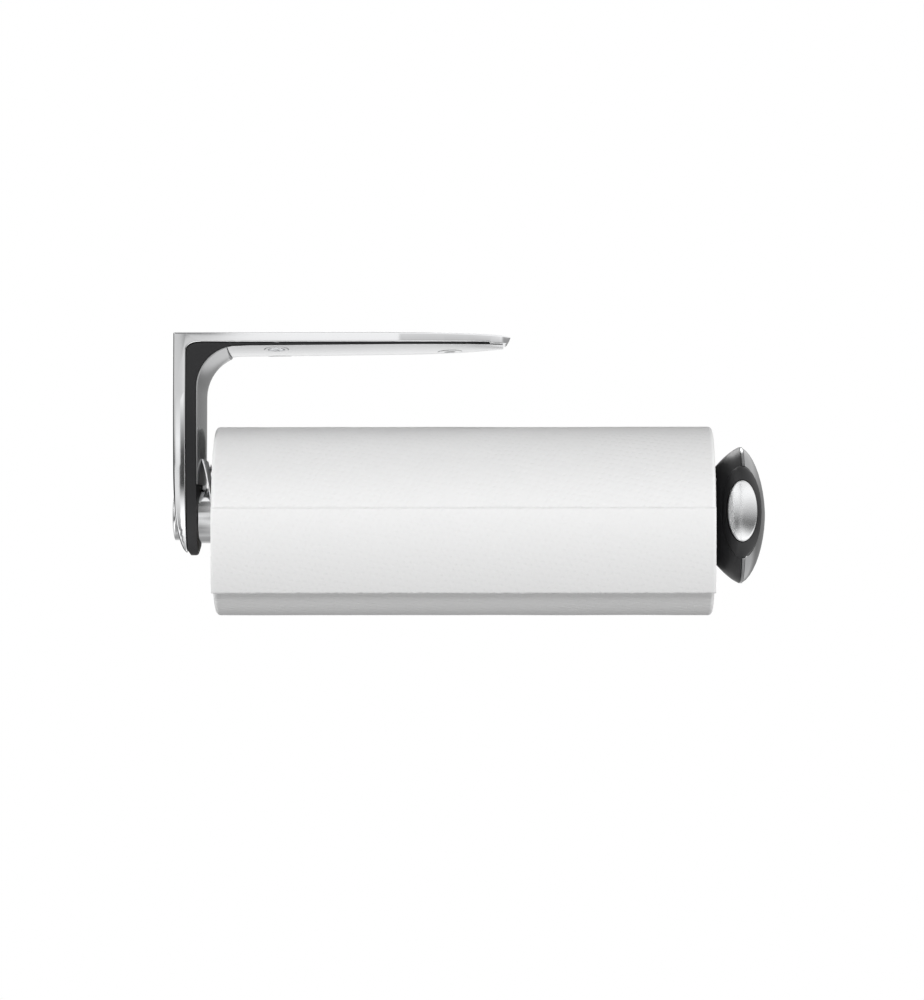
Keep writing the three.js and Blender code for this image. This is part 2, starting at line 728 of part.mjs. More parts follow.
function makeTrimRing() {
  let body = tube(ringX, ringX + knob.ring, 14, domeRadius(ringX), { segments: 48 }).subtract(scallopCut(0));
  for (const place of knobScrewPlaces) {
    body = body.subtract(rod(ringX - 5, ringX + 5, knobScrew.radius + GAP, place));
  }
  for (const { sign } of sides) {
    body = body.add(box(
      [ringX + 0.5, ringX + knob.ring + springSeat.length],
      sortedPair(sign * springSeat.from, sign * springSeat.to),
      around(spindle.z, springSeat.halfHeight)));
  }
  return body;
}

function makeKnobCover() {
  const inset = 1.8;
  const outside = domeProfile(domeX, crownX, knob.radius, knob.domeLength);
  const inside = domeProfile(domeX, crownX - inset, knob.radius - inset, knob.domeLength - inset);
  const shell = turned([...outside, ...inside.reverse()], { segments: 48 });
  const filled = turned([[domeX, 0], ...outside], { segments: 48 });
  let posts = shell;
  for (const place of knobScrewPlaces) {
    posts = posts.add(tube(domeX, crownX, knobScrew.radius + GAP, knobScrew.post, place).intersect(filled));
  }
  return posts.subtract(scallopCut(0)).subtract(buttonPassage());
}

// Room for the buttons' blocks to travel inside the cover.
function buttonPassage() {
  const height = around(spindle.z, button.blockHalfZ + 1);
  const passages = sides.map(({ sign }) =>
    box([rimX - 5, rimX + 8.4], sortedPair(sign * 22.5, sign * 34), height));
  return passages[0].add(passages[1]);
}

function makeCarrier() {
  let body = tube(carrier.x, carrier.x + carrier.thickness, spindle.neck + RUNNING_GAP, carrier.radius, {
    segments: 48,
  });
  for (const { sign } of sides) {
    const openY = sortedPair(sign * (scallop.fromY - 0.6), sign * 60);
    body = body.subtract(box([carrier.x - 1, carrier.x + 4], openY, around(spindle.z, scallop.halfZ + 1.5)));
  }
  for (const place of knobScrewPlaces) {
    body = body.subtract(rod(carrier.x - 5, carrier.x + 5, knobScrew.radius + GAP, place));
  }
  return body;
}

function makeKnobScrew(place) {
  const headX = knobX + GAP;
  const shankX = headX + knobScrew.headHeight;
  const endX = domeX + 5;
  return turned([
    [headX + 0.7, 0], [headX + 0.7, 1.2], [headX, 1.2], [headX, knobScrew.headRadius],
    [shankX, knobScrew.headRadius], [shankX, knobScrew.radius], [endX, knobScrew.radius],
    [endX + 1, 0.6], [endX + 1, 0],
  ], place);
}

// A domed oval pad with the block behind it that carries the latch plate.
function makeButton({ sign, plateX }) {
  const face = ellipsoid(button.dome, sign * (button.crownY - button.dome[1]));
  const pad = ellipticRod(button.halfX, button.halfZ, ...sortedPair(sign * button.backY, sign * 60));
  const blockY = sortedPair(sign * button.blockY, sign * (button.backY + 1));
  return pad.intersect(face).add(box([plateX, rimX + 7.6], blockY, around(spindle.z, button.blockHalfZ)));
}

// The plate round the spindle's neck: squeezing the button draws its far bar off the groove.
function makeLatchPlate({ sign, plateX }) {
  const x = [plateX, plateX + latch.thickness];
  const near = spindle.neck + button.travel + RUNNING_GAP;
  const far = spindle.neck + GAP;
  const plateY = sortedPair(sign * (near + latch.bar), -sign * (far + latch.bar));
  const windowY = sortedPair(sign * near, -sign * far);
  const tabY = sortedPair(sign * near, sign * (button.blockY - GAP));
  return box(x, plateY, around(spindle.z, latch.halfHeight))
    .add(box(x, tabY, around(spindle.z, latch.tabHalfHeight)))
    .subtract(box([x[0] - 1, x[1] + 1], windowY, around(spindle.z, latch.windowHalfHeight)));
}

function makeButtonSpring({ sign }) {
  const { inner, outer } = spring;
  const [y0, y1] = sortedPair(sign * spring.from, sign * spring.to);
  const profile = [[inner, y0], [outer, y0], [outer, y1], [inner, y1], [inner, y0]];
  const geometry = new THREE.LatheGeometry(profile.map(([r, y]) => new THREE.Vector2(r, y)), 20);
  geometry.translate(ringX + knob.ring + GAP + outer, 0, spindle.z);
  return solid(geometry);
}

// ---------- Roll ----------
const onRoll = (segments) => ({ z: rollZ, segments });

function makeCore() {
  const bore = roll.coreBore;
  return tube(roll.startX, roll.startX + roll.width, bore, bore + roll.coreWall, onRoll(40));
}

function makeWinding() {
  const bore = roll.coreBore + roll.coreWall + GAP;
  const endX = roll.startX + roll.width;
  const { edge, radius } = roll;
  const corner = edge * 0.3;
  return turned([
    [roll.startX, bore], [roll.startX, radius - edge], [roll.startX + corner, radius - corner],
    [roll.startX + edge, radius], [endX - edge, radius], [endX - corner, radius - corner],
    [endX, radius - edge], [endX, bore],
  ], onRoll(48));
}

function makeTail() {
  const y = -(roll.radius + GAP);
  const height = [rollZ - roll.tailDrop, rollZ + roll.tailRise];
  return box([roll.startX, roll.startX + roll.width], [y - roll.sheet, y], height);
}

// ---------- Assembly ----------
addPiece("bracket_shell", makeShell(), chrome);
addPiece("bracket_liner", makeLiner(), blackPlastic);
addPiece("arm_cover", makeArmCover(), satin);
addPiece("foot_cover", makeFootCover(), satin);
for (const place of screwPlaces) {
  addPiece(`screw_ferrule_${place.name}`, makeFerrule(place), steel);
}
linerScrew.x.forEach((x, i) => addPiece(`liner_screw_${i + 1}`, makeLinerScrew(x), steel));
addPiece("axle_cap", makeAxleCap(), chrome);
addPiece("axle_bolt", makeBolt(), steel);
addPiece("lock_washer", makeWasher(), steel);
addPiece("spindle_hub", makeHub(), zinc);
addPiece("spindle_collar", makeCollar(), chrome);
addPiece("spindle_tube", makeTube(), chrome);
addPiece("spindle_end_plug", makeEndPlug(), zinc);
addPiece("brake_leaf", makeLeaf(), chrome);
addPiece("brake_leaf_rivet", makeLeafRivet(), steel);
addPiece("knob_body", makeKnobBody(), blackPlastic);
addPiece("knob_latch_carrier", makeCarrier(), blackPlastic);
addPiece("knob_trim_ring", makeTrimRing(), chrome);
addPiece("knob_cover", makeKnobCover(), chrome);
knobScrewPlaces.forEach((place, i) => addPiece(`knob_screw_${i + 1}`, makeKnobScrew(place), steel));
for (const side of sides) {
  addPiece(`button_${side.name}`, makeButton(side), satin);
  addPiece(`latch_plate_${side.name}`, makeLatchPlate(side), steel);
  addPiece(`button_spring_${side.name}`, makeButtonSpring(side), steel);
}
addPiece("roll_core", makeCore(), cardboard);
addPiece("roll_winding", makeWinding(), paper);
addPiece("roll_tail", makeTail(), paper);

export default holder;
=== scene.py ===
"""Looks of the paper towel holder: fine surfaces, materials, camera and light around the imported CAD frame."""
import json
import math

import bmesh
import bpy
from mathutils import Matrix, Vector
from mathutils.noise import noise as noise_at


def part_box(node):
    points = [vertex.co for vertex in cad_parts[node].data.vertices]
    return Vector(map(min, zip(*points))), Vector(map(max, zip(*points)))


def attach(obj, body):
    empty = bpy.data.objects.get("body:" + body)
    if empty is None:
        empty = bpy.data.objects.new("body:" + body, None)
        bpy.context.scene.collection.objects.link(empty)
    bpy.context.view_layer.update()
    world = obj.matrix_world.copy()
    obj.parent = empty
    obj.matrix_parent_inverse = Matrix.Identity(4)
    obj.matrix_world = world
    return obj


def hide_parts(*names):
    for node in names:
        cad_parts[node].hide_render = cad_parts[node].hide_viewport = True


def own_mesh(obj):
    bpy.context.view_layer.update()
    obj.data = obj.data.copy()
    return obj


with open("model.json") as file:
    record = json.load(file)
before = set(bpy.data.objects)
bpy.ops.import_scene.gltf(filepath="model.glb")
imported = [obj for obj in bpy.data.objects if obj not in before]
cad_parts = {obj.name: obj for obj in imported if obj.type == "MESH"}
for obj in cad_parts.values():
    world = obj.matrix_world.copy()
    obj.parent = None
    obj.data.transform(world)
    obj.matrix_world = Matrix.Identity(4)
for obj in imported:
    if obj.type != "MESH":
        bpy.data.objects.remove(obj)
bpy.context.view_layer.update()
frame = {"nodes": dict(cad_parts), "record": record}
MM = 0.001

# ---------- Sizes ----------
winding_low, winding_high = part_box("roll_winding")
core_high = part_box("roll_core")[1]
tail_low, tail_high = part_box("roll_tail")
roll_z = (winding_low.z + winding_high.z) / 2
roll_radius = (winding_high.z - winding_low.z) / 2
SHEET = 0.16 * MM  # thickness of the two-ply towel
LEAVING_ANGLE = math.pi - math.asin((tail_high.z - roll_z) / roll_radius)  # where the sheet leaves the roll
TAIL_CURL = 6.5 * MM  # how far the free edge of the sheet turns in
WAVE = 0.3 * MM  # unevenness of the free sheet
PERFORATION = 3 * MM  # spacing of the nicks along a torn edge
NICK = 0.25 * MM
WINDING_EDGE = 2.2 * MM  # rounding of the roll's ends
SWELL = 0.14 * MM  # unevenness of the roll
BUTTON_DOME = (16 * MM, 18 * MM, 28 * MM)  # half sizes of the ellipsoid that a button's face is cut from
RIM_START = 0.93  # share of a button's half width where its rim starts to turn in
RIM_RADIUS = 0.9 * MM
BUTTON_DEPTH = 9 * MM  # from a button's crown to its flat back
BLOCK_HALF_Z = 5 * MM  # the block behind a button
BLOCK_REACH = 7.6 * MM  # from the button's middle to the block's far end
BLOCK_SINK = 0.5 * MM  # how far the block goes into the button
BLOCK_EDGE = 0.4 * MM
WIRE = 0.45 * MM  # radius of a spring's wire


# ---------- Camera ----------
EYE = Vector((0.0768, -2.35, -0.2599))
AIM = Vector((0.0554, 0.0, -0.0923))
FOCAL_LENGTH = 150.3  # in millimetres, on a sensor 36 mm wide


def add_camera():
    """The camera of the photograph: a long lens, a little below the holder."""
    camera = bpy.data.objects.new("camera", bpy.data.cameras.new("camera"))
    camera.data.sensor_width = 36
    camera.data.lens = FOCAL_LENGTH
    camera.data.clip_end = 50
    camera.location = EYE
    camera.rotation_euler = (AIM - EYE).to_track_quat("-Z", "Y").to_euler()
    bpy.context.scene.collection.objects.link(camera)
    bpy.context.scene.camera = camera


# ---------- Light ----------
# Light that polished metal mirrors, by the angle round the spindle's axis:
# 0 towards the user, 90 up, 180 away from the user and -90 down.
BRACKET_SIDE = [
    (-180, 0.95), (-172, 0.95), (-156, 0.62), (-130, 0.32), (-104, 0.36), (-92, 0.52), (-76, 0.3),
    (-62, 0.3), (-53, 0.2), (-44, 0.34), (-32, 0.62), (-22, 0.82), (-13, 0.76), (-6, 0.95), (3, 0.68),
    (7, 0.6), (9, 0.16), (33, 0.14), (36, 0.025), (53, 0.03), (57, 1.0), (84, 1.0), (90, 0.07),
    (134, 0.05), (140, 1.0), (180, 1.0),
]
KNOB_SIDE = [
    (-180, 0.8), (-150, 0.4), (-120, 0.3), (-70, 0.8), (-48, 1.25), (-34, 1.25), (-26, 0.8), (-19, 0.06),
    (-9, 0.08), (-3, 0.4), (5, 0.6), (16, 0.9), (26, 1.15), (40, 0.95), (60, 0.85), (90, 0.3), (126, 0.5),
    (133, 4.0), (147, 4.0), (155, 0.5), (180, 0.4),
]
FOOT_SIDE = [stop for stop in BRACKET_SIDE if stop[0] < -90]
FOOT_SIDE += [stop for stop in KNOB_SIDE if -90 < stop[0] < 0]
FOOT_SIDE += [(3, 0.88), (8, 0.94)]
FOOT_SIDE += [stop for stop in KNOB_SIDE if stop[0] > 8]
# Behind the knob the light goes by height alone, from 0 (level) to 1 (straight up or down).
BEHIND_KNOB = [(0, 0.3), (0.12, 0.34), (0.3, 0.9), (0.6, 1.0), (1, 0.8)]
BRIGHTEST = 4.0  # the light ramps hold their light divided by this
SIDEWAYS_SHARE = 0.6  # how much a direction to the side counts as towards the user
# Where one light goes over into the next, by the mirrored direction's x, or its y for AWAY_ZONE.
BRACKET_ZONE, FOOT_ZONE, KNOB_ZONE = (-0.13, -0.1), (-0.069, -0.062), (0.015, 0.04)
BEHIND_ZONE, AWAY_ZONE = (0.04, 0.12), (0.0, 0.2)
AMBIENT = 0.12  # light from all round on surfaces that aren't polished


def maths(nodes, links, operation, *values):
    """The result of a maths node. Each value is a number or the output of another node."""
    node = nodes.new("ShaderNodeMath")
    node.operation = operation
    for socket, value in zip(node.inputs, values):
        if isinstance(value, bpy.types.NodeSocket):
            links.new(value, socket)
        else:
            socket.default_value = value
    return node.outputs[0]


def split_xyz(nodes, links, vector):
    """The three parts of a vector."""
    node = nodes.new("ShaderNodeSeparateXYZ")
    links.new(vector, node.inputs[0])
    return node.outputs


def blend_by(nodes, links, value, zone, low, high):
    """A colour that goes smoothly from low to high as value crosses the zone."""
    share = nodes.new("ShaderNodeMapRange")
    share.interpolation_type = "SMOOTHSTEP"
    share.inputs["From Min"].default_value, share.inputs["From Max"].default_value = zone
    links.new(value, share.inputs["Value"])
    mixed = nodes.new("ShaderNodeMix")
    mixed.data_type = "RGBA"
    links.new(share.outputs[0], mixed.inputs["Factor"])
    for socket, colour in (("A", low), ("B", high)):
        links.new(colour, mixed.inputs[socket])
    return mixed.outputs["Result"]


def light_ramp(nodes, links, value, stops, start=0.0, length=1.0):
    """Grey light along stops of (place, brightness). start and length say which places the ramp spans."""
    ramp = nodes.new("ShaderNodeValToRGB")
    links.new(value, ramp.inputs[0])
    for i, (place, brightness) in enumerate(stops):
        share = (place - start) / length
        elements = ramp.color_ramp.elements
        stop = elements[i] if i < 2 else elements.new(share)
        stop.position = share
        stop.color = (*[brightness / BRIGHTEST] * 3, 1)
    return ramp.outputs[0]


def add_world():
    """White behind the object, faint light all round it, and a drawn studio for polished metal to mirror."""
    world = bpy.data.worlds.new("studio")
    bpy.context.scene.world = world
    world.use_nodes = True
    nodes, links = world.node_tree.nodes, world.node_tree.links
    nodes.clear()
    direction = nodes.new("ShaderNodeTexCoord")
    across, away, up = split_xyz(nodes, links, direction.outputs["Generated"])
    sideways = maths(nodes, links, "ABSOLUTE", across)
    widened = maths(nodes, links, "MULTIPLY", sideways, SIDEWAYS_SHARE)
    forward = maths(nodes, links, "SUBTRACT", widened, away)
    angle = maths(nodes, links, "ARCTAN2", up, forward)
    turn = maths(nodes, links, "MULTIPLY_ADD", angle, 1 / math.tau, 0.5)
    bracket, foot, knob = (
        light_ramp(nodes, links, turn, stops, -180, 360) for stops in (BRACKET_SIDE, FOOT_SIDE, KNOB_SIDE)
    )
    behind = light_ramp(nodes, links, maths(nodes, links, "ABSOLUTE", up), BEHIND_KNOB)
    mirrored = blend_by(nodes, links, across, BRACKET_ZONE, knob, bracket)
    mirrored = blend_by(nodes, links, across, FOOT_ZONE, mirrored, foot)
    mirrored = blend_by(nodes, links, across, KNOB_ZONE, mirrored, knob)
    knob_back = blend_by(nodes, links, away, AWAY_ZONE, mirrored, behind)
    mirrored = blend_by(nodes, links, across, BEHIND_ZONE, mirrored, knob_back)
    polished = nodes.new("ShaderNodeBackground")
    polished.inputs["Strength"].default_value = BRIGHTEST
    links.new(mirrored, polished.inputs["Color"])
    soft = nodes.new("ShaderNodeBackground")
    soft.inputs["Color"].default_value = (1, 1, 1, 1)
    soft.inputs["Strength"].default_value = AMBIENT
    white = nodes.new("ShaderNodeBackground")
    white.inputs["Color"].default_value = (1, 1, 1, 1)
    rays = nodes.new("ShaderNodeLightPath")
    unseen = choose(nodes, links, rays.outputs["Is Glossy Ray"], soft, polished)
    seen = choose(nodes, links, rays.outputs["Is Camera Ray"], unseen, white)
    output = nodes.new("ShaderNodeOutputWorld")
    links.new(seen.outputs[0], output.inputs["Surface"])


def choose(nodes, links, share, first, second):
    """A mix of two shaders: the first where share is 0, the second where it is 1."""
    mixed = nodes.new("ShaderNodeMixShader")
    for socket, source in zip(mixed.inputs, (share, first.outputs[0], second.outputs[0])):
        links.new(source, socket)
    return mixed


SOFTBOX_SIZE = 0.9
SOFTBOX_AIM = Vector((0.05, 0, -0.1))
SOFTBOXES = (  # name, place in metres, watts
    ("front_softbox", (0.05, -3.0, 0.45), 64),
    ("top_softbox", (0.05, 0, 2.9), 8),
    ("low_softbox", (0.05, -1.5, -2.6), 22),
    ("back_softbox", (0.05, 3.0, -0.1), 45),
    ("left_softbox", (-3.0, 0, -0.1), 40),
    ("right_softbox", (3.0, 0, -0.1), 40),
)
FLOOR_HALF_SIZE = 6.0
FLOOR_Z = -0.75


def add_softbox(name, place, watts):
    light = bpy.data.objects.new(name, bpy.data.lights.new(name, "AREA"))
    light.data.shape = "SQUARE"
    light.data.size = SOFTBOX_SIZE
    light.data.energy = watts
    light.location = place
    light.rotation_euler = (SOFTBOX_AIM - light.location).to_track_quat("-Z", "Y").to_euler()
    light.visible_camera = False
    light.visible_glossy = False
    bpy.context.scene.collection.objects.link(light)


def add_floor():
    """A pale floor that only the camera sees, so it doesn't block the low softbox."""
    half = FLOOR_HALF_SIZE
    mesh = bpy.data.meshes.new("floor")
    corners = [(x, y, FLOOR_Z) for x, y in ((-half, -half), (half, -half), (half, half), (-half, half))]
    mesh.from_pydata(corners, [], [(0, 1, 2, 3)])
    floor = bpy.data.objects.new("floor", mesh)
    floor.data.materials.append(floor_material())
    floor.visible_diffuse = False
    floor.visible_glossy = False
    floor.visible_shadow = False
    bpy.context.scene.collection.objects.link(floor)


def add_lights():
    bpy.context.scene.view_settings.view_transform = "Standard"
    add_world()
    for name, place, watts in SOFTBOXES:
        add_softbox(name, place, watts)
    add_floor()


# ---------- Materials ----------
DIMPLE_PITCH = 6.4 * MM
DIMPLE_SLANT = 24  # degrees
DIMPLE_FLOOR = 0.2  # how much of the dimples' pattern is flat
DIMPLE_WANDER = 6 * MM
EMBOSS_DEPTH = 0.16 * MM
CREPE_SHARE, UNEVEN_SHARE = 0.5, 0.9  # of the embossing's depth
# Painted shade: grey that the hanging sheet's colour turns to at its lower edge.
PAINTED_TAIL_SHADE = 0.74  # shade of the sheet's lower edge, where it hangs free
LAYER_PITCH = 0.55 * MM  # of the wound layers in the roll's end
LAYER_DRIFT = 1.5  # how far the layers stray, in layers
LAYER_DEPTH = 0.2 * MM
FIBRE_DEPTH = 0.06 * MM
PEBBLE_DEPTH = 0.01 * MM
# Painted reflection: the dark band of this ramp is a dark reflection painted on the bracket's rounded edge, by
# how far the surface faces outwards.
PAINTED_EDGE_REFLECTION = ((0.25, 1.0), (0.42, 0.12), (0.86, 0.12), (0.95, 1.0))  # by how far the surface faces outwards


def new_material(name):
    material = bpy.data.materials.new(name)
    material.use_nodes = True
    nodes, links = material.node_tree.nodes, material.node_tree.links
    return material, nodes, links, nodes["Principled BSDF"]


def object_point(nodes, links, scale=(1, 1, 1)):
    place = nodes.new("ShaderNodeTexCoord")
    mapping = nodes.new("ShaderNodeMapping")
    mapping.inputs["Scale"].default_value = scale
    links.new(place.outputs["Object"], mapping.inputs["Vector"])
    return mapping.outputs["Vector"]


def noise(nodes, links, vector, scale, detail=3):
    node = nodes.new("ShaderNodeTexNoise")
    node.inputs["Scale"].default_value = scale
    node.inputs["Detail"].default_value = detail
    links.new(vector, node.inputs["Vector"])
    return node.outputs["Fac"]


def spread(nodes, links, value, low, high, start=0.0):
    """A number that goes evenly from low to high as value goes from start to 1."""
    node = nodes.new("ShaderNodeMapRange")
    node.inputs["From Min"].default_value = start
    node.inputs["To Min"].default_value = low
    node.inputs["To Max"].default_value = high
    links.new(value, node.inputs["Value"])
    return node.outputs[0]


def tint(nodes, links, value, low, high):
    """A colour between low and high."""
    node = nodes.new("ShaderNodeMix")
    node.data_type = "RGBA"
    node.inputs["A"].default_value = (*low, 1)
    node.inputs["B"].default_value = (*high, 1)
    links.new(value, node.inputs["Factor"])
    return node.outputs["Result"]


def bump(nodes, links, shader, height, depth):
    node = nodes.new("ShaderNodeBump")
    node.inputs["Distance"].default_value = depth
    node.inputs["Strength"].default_value = 1
    links.new(height, node.inputs["Height"])
    links.new(node.outputs[0], shader.inputs["Normal"])


def metal(name, shade, roughness, grain_scale, grain=(1, 1, 1), bump_depth=0.0, metallic=1.0):
    """Metal whose polish varies a little, with fine grain along one way where it is brushed."""
    material, nodes, links, shader = new_material(name)
    shader.inputs["Metallic"].default_value = metallic
    point = object_point(nodes, links, grain)
    fine = noise(nodes, links, point, grain_scale, 4)
    broad = noise(nodes, links, object_point(nodes, links), 60)
    links.new(spread(nodes, links, fine, roughness * 0.8, roughness * 1.25), shader.inputs["Roughness"])
    low = tuple(shade * x for x in (0.97, 0.975, 0.985))
    high = tuple(min(1, shade * x * 1.03) for x in (0.985, 0.99, 1.0))
    links.new(tint(nodes, links, broad, low, high), shader.inputs["Base Color"])
    if bump_depth:
        bump(nodes, links, shader, fine, bump_depth)
    return material


def with_painted_edge_reflection(material):
    """Paints a dark reflection into the base colour of the bracket's rounded outer edge, which faces partly
    outwards: a painted dark line, not a real mark in the plating.
    """
    nodes, links = material.node_tree.nodes, material.node_tree.links
    shader = nodes["Principled BSDF"]
    place = nodes.new("ShaderNodeTexCoord")
    across = split_xyz(nodes, links, place.outputs["Normal"])["X"]
    ramp = nodes.new("ShaderNodeValToRGB")
    links.new(maths(nodes, links, "MULTIPLY", across, -1.0), ramp.inputs[0])
    for i, (share, value) in enumerate(PAINTED_EDGE_REFLECTION):
        elements = ramp.color_ramp.elements
        stop = elements[i] if i < 2 else elements.new(share)
        stop.position = share
        stop.color = (value, value, value, 1)
    darkened = nodes.new("ShaderNodeMix")
    darkened.data_type = "RGBA"
    darkened.blend_type = "MULTIPLY"
    darkened.inputs["Factor"].default_value = 1
    links.new(shader.inputs["Base Color"].links[0].from_socket, darkened.inputs["A"])
    links.new(ramp.outputs[0], darkened.inputs["B"])
    links.new(darkened.outputs["Result"], shader.inputs["Base Color"])
    return material


def plastic(name, low, high, roughness):
    """Moulded plastic with a fine spark-eroded texture."""
    material, nodes, links, shader = new_material(name)
    point = object_point(nodes, links)
    pebble = noise(nodes, links, point, 2200, 2)
    broad = noise(nodes, links, point, 45)
    links.new(tint(nodes, links, broad, low, high), shader.inputs["Base Color"])
    links.new(spread(nodes, links, pebble, roughness * 0.85, roughness * 1.2), shader.inputs["Roughness"])
    bump(nodes, links, shader, pebble, PEBBLE_DEPTH)
    return material


def floor_material():
    material, nodes, links, shader = new_material("floor")
    grain = noise(nodes, links, object_point(nodes, links), 40)
    links.new(tint(nodes, links, grain, (0.84, 0.84, 0.84), (0.88, 0.88, 0.88)), shader.inputs["Base Color"])
    shader.inputs["Roughness"].default_value = 0.8
    shader.inputs["Emission Color"].default_value = (1, 1, 1, 1)
    shader.inputs["Emission Strength"].default_value = 0.72
    return material


def paper(name, low, high):
    """Two-ply towel paper: slanting rows of embossed dimples, with crepe between them.

    The second UV map's height is how far a stretch of sheet hangs free; along it the colour is mixed towards a
    flat grey, a painted shade that darkens the sheet towards its bottom."""
    material, nodes, links, shader = new_material(name)
    along = nodes.new("ShaderNodeUVMap")
    along.uv_map = "place"
    wander = nodes.new("ShaderNodeTexNoise")
    wander.inputs["Scale"].default_value = 70
    links.new(along.outputs[0], wander.inputs["Vector"])
    warped = nodes.new("ShaderNodeVectorMath")
    warped.operation = "MULTIPLY_ADD"
    warped.inputs[1].default_value = (DIMPLE_WANDER, DIMPLE_WANDER, 0)
    links.new(wander.outputs["Color"], warped.inputs[0])
    links.new(along.outputs[0], warped.inputs[2])
    slanted = nodes.new("ShaderNodeMapping")
    slanted.inputs["Rotation"].default_value = (0, 0, math.radians(DIMPLE_SLANT))
    links.new(warped.outputs[0], slanted.inputs["Vector"])
    across, down, _ = split_xyz(nodes, links, slanted.outputs[0])
    waves = [
        maths(nodes, links, "SINE", maths(nodes, links, "MULTIPLY", place, math.tau / pitch))
        for place, pitch in ((across, DIMPLE_PITCH), (down, DIMPLE_PITCH * 0.7))
    ]
    pressed = spread(nodes, links, maths(nodes, links, "MULTIPLY", *waves), 1.0, 0.0, DIMPLE_FLOOR)
    crepe = noise(nodes, links, object_point(nodes, links, (0.35, 1, 1)), 1300, 3)
    broad = noise(nodes, links, object_point(nodes, links), 160, 2)
    height = maths(nodes, links, "MULTIPLY_ADD", crepe, CREPE_SHARE, pressed)
    height = maths(nodes, links, "MULTIPLY_ADD", broad, UNEVEN_SHARE, height)
    bump(nodes, links, shader, height, EMBOSS_DEPTH)
    # Painted shade: down the hanging sheet the colour is mixed towards a flat grey, darker at the bottom.
    free = nodes.new("ShaderNodeUVMap")
    free.uv_map = "hanging"
    tail_shade_mix = nodes.new("ShaderNodeMix")
    tail_shade_mix.data_type = "RGBA"
    links.new(split_xyz(nodes, links, free.outputs[0])["Y"], tail_shade_mix.inputs["Factor"])
    links.new(tint(nodes, links, broad, low, high), tail_shade_mix.inputs["A"])
    tail_shade_mix.inputs["B"].default_value = (PAINTED_TAIL_SHADE, PAINTED_TAIL_SHADE, PAINTED_TAIL_SHADE, 1)
    links.new(tail_shade_mix.outputs["Result"], shader.inputs["Base Color"])
    shader.inputs["Roughness"].default_value = 0.95
    shader.inputs["Specular IOR Level"].default_value = 0.2
    return material


def paper_edge(name):
    """The roll's end: the edges of the wound layers, with the odd gap between them."""
    material, nodes, links, shader = new_material(name)
    place = nodes.new("ShaderNodeTexCoord")
    mapping = nodes.new("ShaderNodeMapping")
    mapping.inputs["Location"].default_value = (0, 0, -roll_z)
    links.new(place.outputs["Object"], mapping.inputs["Vector"])
    flat = nodes.new("ShaderNodeVectorMath")
    flat.operation = "MULTIPLY"
    flat.inputs[1].default_value = (0, 1, 1)
    links.new(mapping.outputs["Vector"], flat.inputs[0])
    radius = nodes.new("ShaderNodeVectorMath")
    radius.operation = "LENGTH"
    links.new(flat.outputs[0], radius.inputs[0])
    drift = noise(nodes, links, object_point(nodes, links), 90, 2)
    uneven = maths(nodes, links, "MULTIPLY_ADD", drift, LAYER_PITCH * LAYER_DRIFT, radius.outputs["Value"])
    phase = maths(nodes, links, "MULTIPLY", uneven, math.tau / LAYER_PITCH)
    edge = spread(nodes, links, maths(nodes, links, "SINE", phase), 0.0, 1.0, -1.0)
    links.new(tint(nodes, links, edge, (0.78, 0.78, 0.775), (0.92, 0.92, 0.92)), shader.inputs["Base Color"])
    bump(nodes, links, shader, edge, LAYER_DEPTH)
    shader.inputs["Roughness"].default_value = 0.95
    return material


def card(name):
    """Grey-brown chipboard with short fibres."""
    material, nodes, links, shader = new_material(name)
    fibre = noise(nodes, links, object_point(nodes, links, (0.2, 1, 1)), 900, 5)
    links.new(tint(nodes, links, fibre, (0.40, 0.31, 0.21), (0.60, 0.50, 0.36)), shader.inputs["Base Color"])
    shader.inputs["Roughness"].default_value = 0.9
    bump(nodes, links, shader, fibre, FIBRE_DEPTH)
    return material


CHROME = metal("chrome", 0.93, 0.045, 400)
# the shell's chrome, with a painted dark reflection along its rounded outer edge
SHELL = with_painted_edge_reflection(metal("shell_chrome", 0.93, 0.045, 400))
LEAF = metal("leaf_steel", 0.86, 0.35, 1600, grain=(1, 1, 0.1), metallic=0.45)
# The same satin as the other covers with its grain along the arm, but much darker: painted shade that dims the
# arm cover's reflection.
ARM_SATIN_SHADED = metal("arm_cover_satin_painted_shade", 0.52, 0.2, 2600, grain=(1, 1, 0.06), bump_depth=0.004 * MM)
SATIN = metal("satin_cover", 0.9, 0.2, 2600, grain=(1, 0.06, 1), bump_depth=0.004 * MM)
STEEL = metal("plain_steel", 0.5, 0.34, 1500)
SPINDLE = metal("polished_spindle", 0.88, 0.07, 2400, grain=(0.1, 1, 1))
ZINC = metal("cast_zinc", 0.56, 0.42, 700, bump_depth=0.03 * MM)
KNOB = metal("knob_chrome", 0.36, 0.16, 700)
BUTTON = metal("button_satin", 0.92, 0.27, 2600)
SPRING = metal("spring_steel", 0.78, 0.14, 1800, grain=(1, 0.2, 1))
BLACK = plastic("black_plastic", (0.010, 0.010, 0.011), (0.016, 0.016, 0.017), 0.42)
